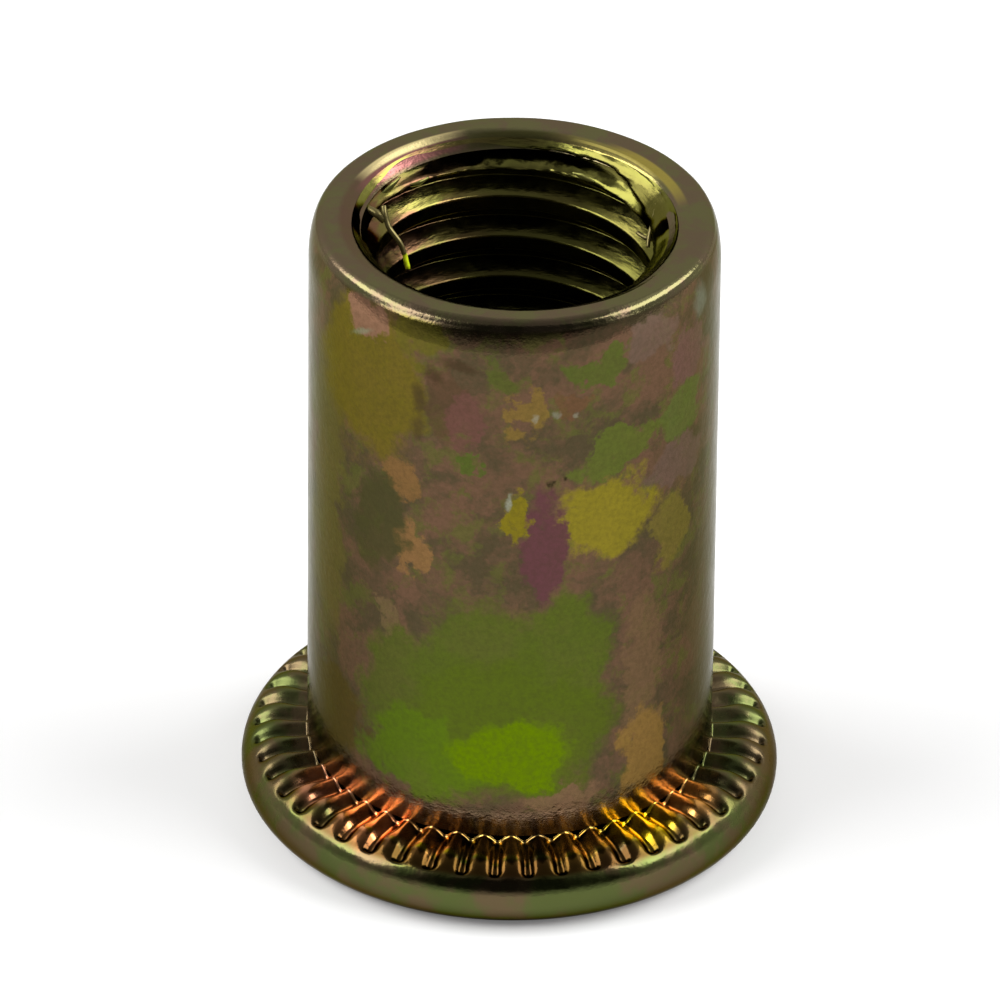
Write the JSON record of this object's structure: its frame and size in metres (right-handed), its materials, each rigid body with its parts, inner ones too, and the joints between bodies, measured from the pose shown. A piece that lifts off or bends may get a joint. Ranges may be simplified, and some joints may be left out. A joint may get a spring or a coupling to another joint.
{
  "type": "rivet nut",
  "caption": "Open-end blind rivet nut: round shank with an internal thread, thin-walled chamber, and a flat round head with radial ribs under it.",
  "frame": {"origin": "centre of the head's outer face, on the shank's axis", "axes": "+Z along the shank, from the head to the threaded end; +X and +Y complete a right-handed frame"},
  "size_m": [0.0172, 0.0172, 0.0214],
  "materials": {
    "zinc_plated_steel": "zinc plated and yellow chromated, satin, with green, olive and purple interference colours"
  },
  "bodies": {
    "root": {"rivet_nut": "zinc_plated_steel"}
  },
  "joints": []
}
